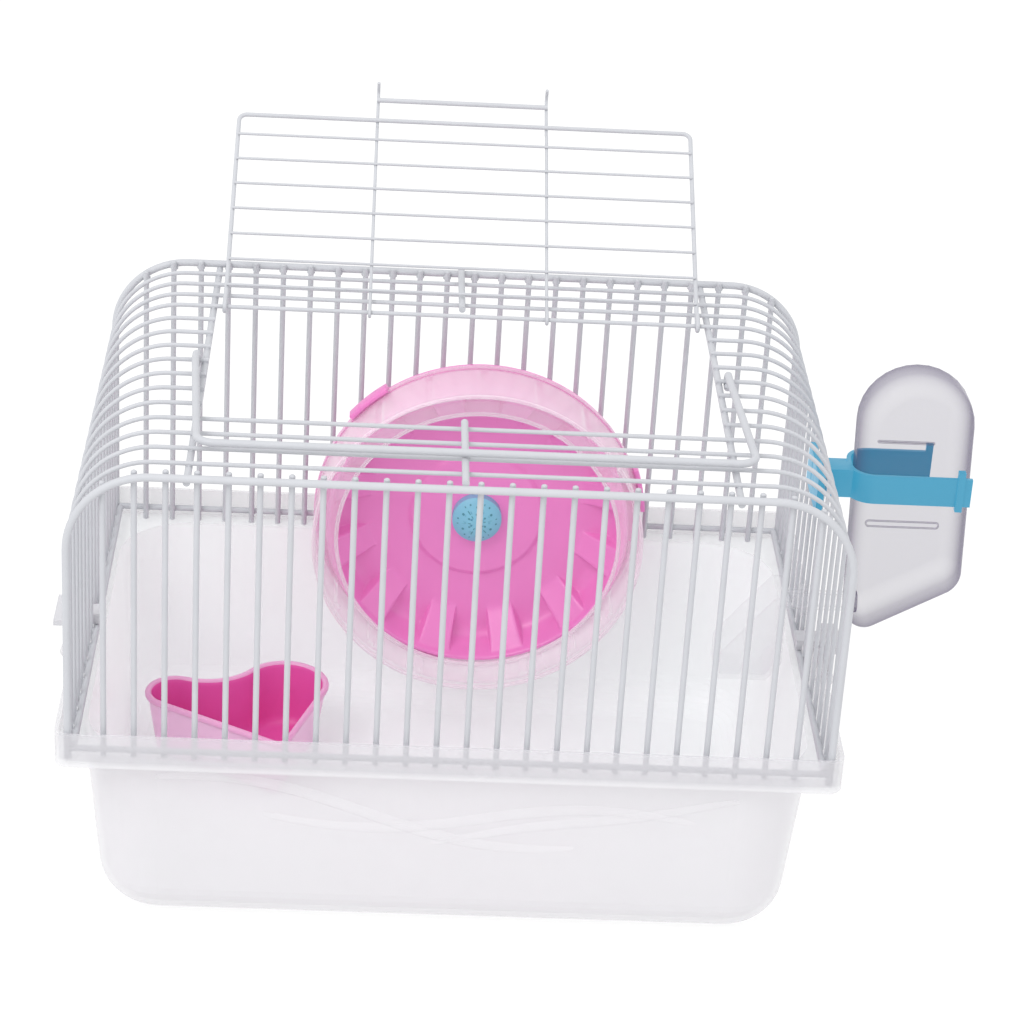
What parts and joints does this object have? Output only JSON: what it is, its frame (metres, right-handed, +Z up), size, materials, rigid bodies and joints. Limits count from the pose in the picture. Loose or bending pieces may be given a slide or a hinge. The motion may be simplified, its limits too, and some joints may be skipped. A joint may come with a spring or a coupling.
{
  "type": "hamster cage",
  "caption": "Small hamster cage: a frosted tray under a white wire top with a roof door and carry handle, running wheel, heart-shaped bowl and clip-on water bottle.",
  "frame": {"origin": "centre of the flat resting face under the tray", "axes": "+X towards the water bottle, +Y towards the wheel and the door hinge at the back, +Z up"},
  "size_m": [0.318, 0.2365, 0.2289],
  "materials": {
    "wire_white": "glossy dipped coating",
    "frosted_tray": "frosted translucent moulding",
    "pink_plastic": "glossy moulding",
    "blue_plastic": "glossy moulding",
    "clear_plastic": "clear moulding",
    "steel": "plain turned"
  },
  "bodies": {
    "base": {"base_tray": "frosted_tray"},
    "left_latch": {"left_latch": "frosted_tray"},
    "right_latch": {"right_latch": "frosted_tray"},
    "bowl": {"food_bowl": "pink_plastic"},
    "wire_top": {"front_frame_wire": "wire_white", "rear_frame_wire": "wire_white", "front_bars": "wire_white", "rear_bars": "wire_white", "front_bottom_wire": "wire_white", "rear_bottom_wire": "wire_white", "left_bottom_wire": "wire_white", "right_bottom_wire": "wire_white", "front_arch_wires": "wire_white", "rear_arch_wires": "wire_white", "left_side_wires": "wire_white", "right_side_wires": "wire_white", "left_border_wire": "wire_white", "right_border_wire": "wire_white", "front_stiffener": "wire_white", "rear_stiffener": "wire_white", "wheel_bracket": "pink_plastic", "bracket_clamp": "pink_plastic", "wheel_axle": "steel", "axle_nut": "steel", "bottle_clip": "blue_plastic", "clip_backplate": "blue_plastic", "bottle_trough": "clear_plastic"},
    "door": {"door_frame_wire": "wire_white", "door_cross_wires": "wire_white", "door_rib_wires": "wire_white", "door_grip_bar": "wire_white"},
    "handle": {"carry_handle": "wire_white"},
    "wheel": {"wheel_dish": "pink_plastic", "wheel_ring": "clear_plastic", "hub_cap": "blue_plastic"},
    "bottle": {"bottle_shell": "clear_plastic"}
  },
  "joints": [
    {"name": "wire_top_lift", "type": "slide", "parent": "base", "child": "wire_top", "axis": [0, 0, 1], "range_m": [0, 0.08]},
    {"name": "left_latch_hinge", "type": "hinge", "parent": "base", "child": "left_latch", "pos_m": [-0.1342, -0.003, 0.0694], "axis": [0, -1, 0], "range_deg": [0, 60]},
    {"name": "right_latch_hinge", "type": "hinge", "parent": "base", "child": "right_latch", "pos_m": [0.1342, -0.003, 0.0694], "axis": [0, 1, 0], "range_deg": [0, 60]},
    {"name": "bowl_lift", "type": "slide", "parent": "base", "child": "bowl", "axis": [0, 0, 1], "range_m": [0, 0.02]},
    {"name": "door_hinge", "type": "hinge", "parent": "wire_top", "child": "door", "pos_m": [0, 0.0492, 0.1755], "axis": [1, 0, 0], "range_deg": [0, 150]},
    {"name": "handle_hinge", "type": "hinge", "parent": "wire_top", "child": "handle", "pos_m": [0, 0.0028, 0.1755], "axis": [-1, 0, 0], "range_deg": [0, 150]},
    {"name": "wheel_spin", "type": "hinge", "parent": "wire_top", "child": "wheel", "pos_m": [0.01, 0.056, 0.0865], "axis": [0, 1, 0], "continuous": true},
    {"name": "bottle_slide", "type": "slide", "parent": "wire_top", "child": "bottle", "axis": [1, 0, 0], "range_m": [0, 0.05]}
  ]
}
